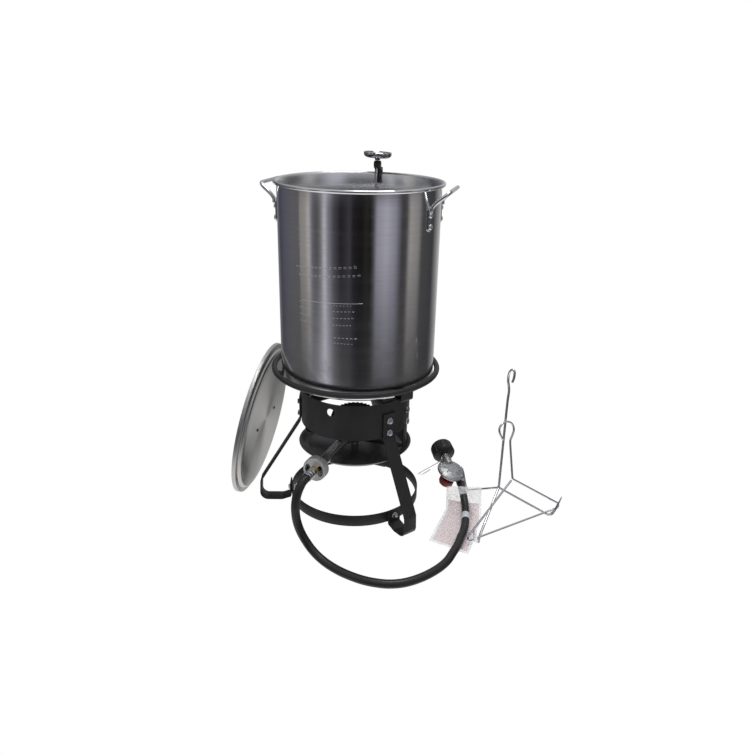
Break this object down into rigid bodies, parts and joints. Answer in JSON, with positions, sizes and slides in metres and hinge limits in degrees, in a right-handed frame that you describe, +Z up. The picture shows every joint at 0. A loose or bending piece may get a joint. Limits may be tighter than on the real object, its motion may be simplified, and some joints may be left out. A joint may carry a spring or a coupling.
{
  "type": "turkey fryer kit",
  "caption": "Tall aluminium pot on a welded propane burner stand, with hose, regulator, leaning lid, rim thermometer, poultry rack and lifting hook.",
  "frame": {"origin": "on the ground under the middle of the whole kit's bounding box", "axes": "+Z up; +X runs from the leaning lid, past the stand, to the poultry rack; +Y runs from the side where the hose lies in front of the stand towards the thermometer at the back of the rim"},
  "size_m": [0.6935, 0.5453, 0.7212],
  "materials": {
    "pot_aluminium": "polished, fine turned lines",
    "lid_aluminium": "satin spun",
    "rivet_aluminium": "bright",
    "plated_wire": "bright plated",
    "black_paint": "satin black",
    "pan_paint": "semi-gloss charcoal",
    "cast_iron": "rough cast",
    "steel_tube": "bright",
    "shutter_zinc": "grey zinc, knurled rim",
    "brass": "machined",
    "hose_rubber": "satin",
    "sleeve_foil": "pale silvery band",
    "diecast_zinc": "die-cast zinc",
    "bonnet_paint": "dark grey",
    "nut_plastic": "satin black",
    "knob_plastic": "dark red",
    "bag_sheet": "clear sheet with a folded leaflet",
    "dial_case": "dark chrome",
    "dial_lens": "clear",
    "needle_red": "red",
    "clip_plastic": "black",
    "zinc_bolt": "bright zinc"
  },
  "bodies": {
    "stand": {"base_bolt_1": "zinc_bolt", "base_bolt_2": "zinc_bolt", "base_bolt_3": "zinc_bolt", "base_ring": "black_paint", "bracket_bolt_1": "zinc_bolt", "bracket_bolt_2": "zinc_bolt", "bracket_bolt_3": "zinc_bolt", "bracket_bolt_4": "zinc_bolt", "burner_bracket": "black_paint", "burner_head": "cast_iron", "centre_bolt": "zinc_bolt", "drip_pan": "pan_paint", "gas_hose": "hose_rubber", "gas_orifice": "brass", "hose_ferrule_burner": "plated_wire", "hose_ferrule_regulator": "plated_wire", "hose_sleeve": "sleeve_foil", "inlet_nipple": "brass", "instruction_bag": "bag_sheet", "leg_bolt_1": "zinc_bolt", "leg_bolt_2": "zinc_bolt", "leg_bolt_3": "zinc_bolt", "leg_bolt_4": "zinc_bolt", "leg_bolt_5": "zinc_bolt", "leg_bolt_6": "zinc_bolt", "pot_ring": "black_paint", "regulator_body": "diecast_zinc", "regulator_bonnet": "bonnet_paint", "stand_leg_1": "black_paint", "stand_leg_2": "black_paint", "stand_leg_3": "black_paint", "tie_wire": "plated_wire", "venturi_tube": "steel_tube", "wind_guard": "black_paint"},
    "air_shutter": {"air_shutter": "shutter_zinc"},
    "coupling_nut": {"coupling_nut": "nut_plastic"},
    "pressure_knob": {"pressure_knob": "knob_plastic"},
    "pot": {"pot_body": "pot_aluminium", "pot_handle_left": "plated_wire", "pot_handle_right": "plated_wire", "pot_rivet_1": "rivet_aluminium", "pot_rivet_2": "rivet_aluminium", "pot_rivet_3": "rivet_aluminium", "pot_rivet_4": "rivet_aluminium", "pot_rivet_5": "rivet_aluminium", "pot_rivet_6": "rivet_aluminium", "pot_rivet_7": "rivet_aluminium", "pot_rivet_8": "rivet_aluminium"},
    "lid": {"lid": "lid_aluminium", "lid_handle": "plated_wire", "lid_rivet_1": "rivet_aluminium", "lid_rivet_2": "rivet_aluminium"},
    "thermometer_clip": {"thermometer_clip": "clip_plastic"},
    "thermometer": {"thermometer_dial": "dial_case", "thermometer_lens": "dial_lens"},
    "needle": {"thermometer_needle": "needle_red"},
    "rack": {"poultry_rack": "plated_wire"},
    "lifting_hook": {"lifting_hook": "plated_wire"}
  },
  "joints": [
    {"name": "pot_lift", "type": "slide", "parent": "stand", "child": "pot", "axis": [0, 0, 1], "range_m": [0, 0.3]},
    {"name": "clip_lift", "type": "slide", "parent": "pot", "child": "thermometer_clip", "axis": [0, 0, 1], "range_m": [0, 0.34]},
    {"name": "stem_slide", "type": "slide", "parent": "thermometer_clip", "child": "thermometer", "axis": [0.041, 0, 0.9992], "range_m": [0, 0.26]},
    {"name": "needle_turn", "type": "hinge", "parent": "thermometer", "child": "needle", "pos_m": [-0.05291, 0.1948, 0.7135], "axis": [0.041, 0, 0.9992], "range_deg": [0, 270]},
    {"name": "lid_lift", "type": "slide", "parent": "stand", "child": "lid", "axis": [-0.9667, 0.1784, 0.1837], "range_m": [0, 0.15]},
    {"name": "shutter_turn", "type": "hinge", "parent": "stand", "child": "air_shutter", "pos_m": [-0.16657, -0.12126, 0.166], "axis": [-0.3907, -0.9205, 0], "range_deg": [0, 90]},
    {"name": "nut_turn", "type": "hinge", "parent": "stand", "child": "coupling_nut", "pos_m": [0.10766, 0.12181, 0.07527], "axis": [-0.2296, 0.9269, 0.297], "continuous": true},
    {"name": "knob_turn", "type": "hinge", "parent": "stand", "child": "pressure_knob", "pos_m": [0.11309, 0.0757, 0.02794], "axis": [-0.2501, 0.2501, -0.9354], "range_deg": [0, 300]},
    {"name": "rack_lift", "type": "slide", "parent": "stand", "child": "rack", "axis": [0, 0, 1], "range_m": [0, 0.35]},
    {"name": "hook_lift", "type": "slide", "parent": "rack", "child": "lifting_hook", "axis": [0.2036, -0.3444, 0.9165], "range_m": [0, 0.25]}
  ]
}
